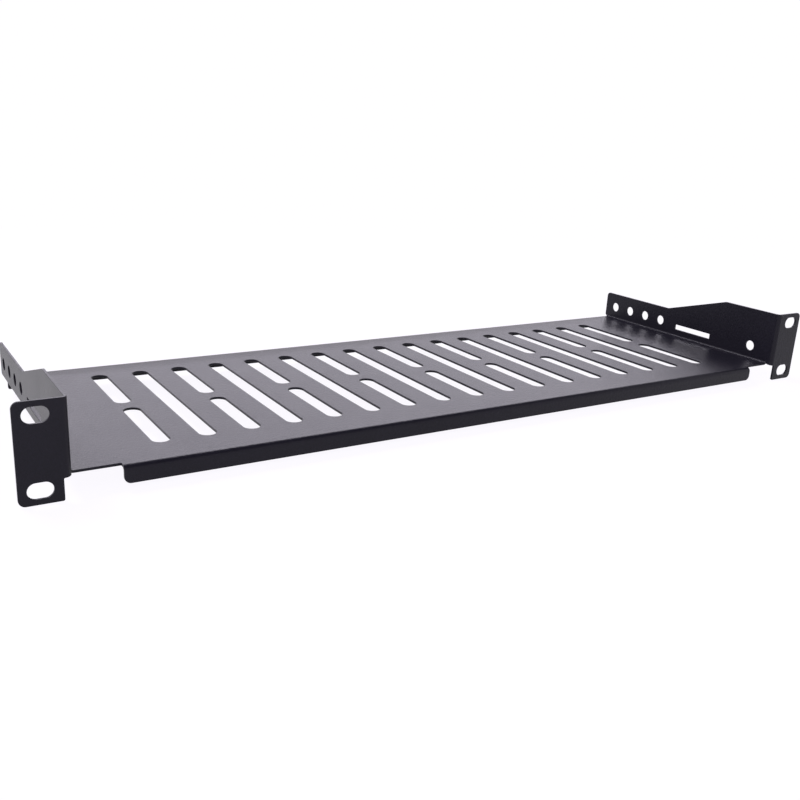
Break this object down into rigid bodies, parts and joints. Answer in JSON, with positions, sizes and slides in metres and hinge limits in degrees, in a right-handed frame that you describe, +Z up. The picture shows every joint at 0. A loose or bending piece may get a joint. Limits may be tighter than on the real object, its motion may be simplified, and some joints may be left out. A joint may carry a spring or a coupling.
{
  "type": "rack shelf",
  "caption": "Shallow vented steel rack shelf folded from one sheet, with side walls, front and rear lips and slotted mounting ears.",
  "frame": {"origin": "centre of the pattern of four mounting slots, on the plane of the ears' rear faces, where they meet the rack's rails", "axes": "+X across the rack to the right as seen from the front, +Y back into the rack, +Z up"},
  "size_m": [0.4826, 0.1524, 0.0438],
  "materials": {
    "black_powder_coat": "satin"
  },
  "bodies": {
    "root": {"shelf": "black_powder_coat"}
  },
  "joints": []
}
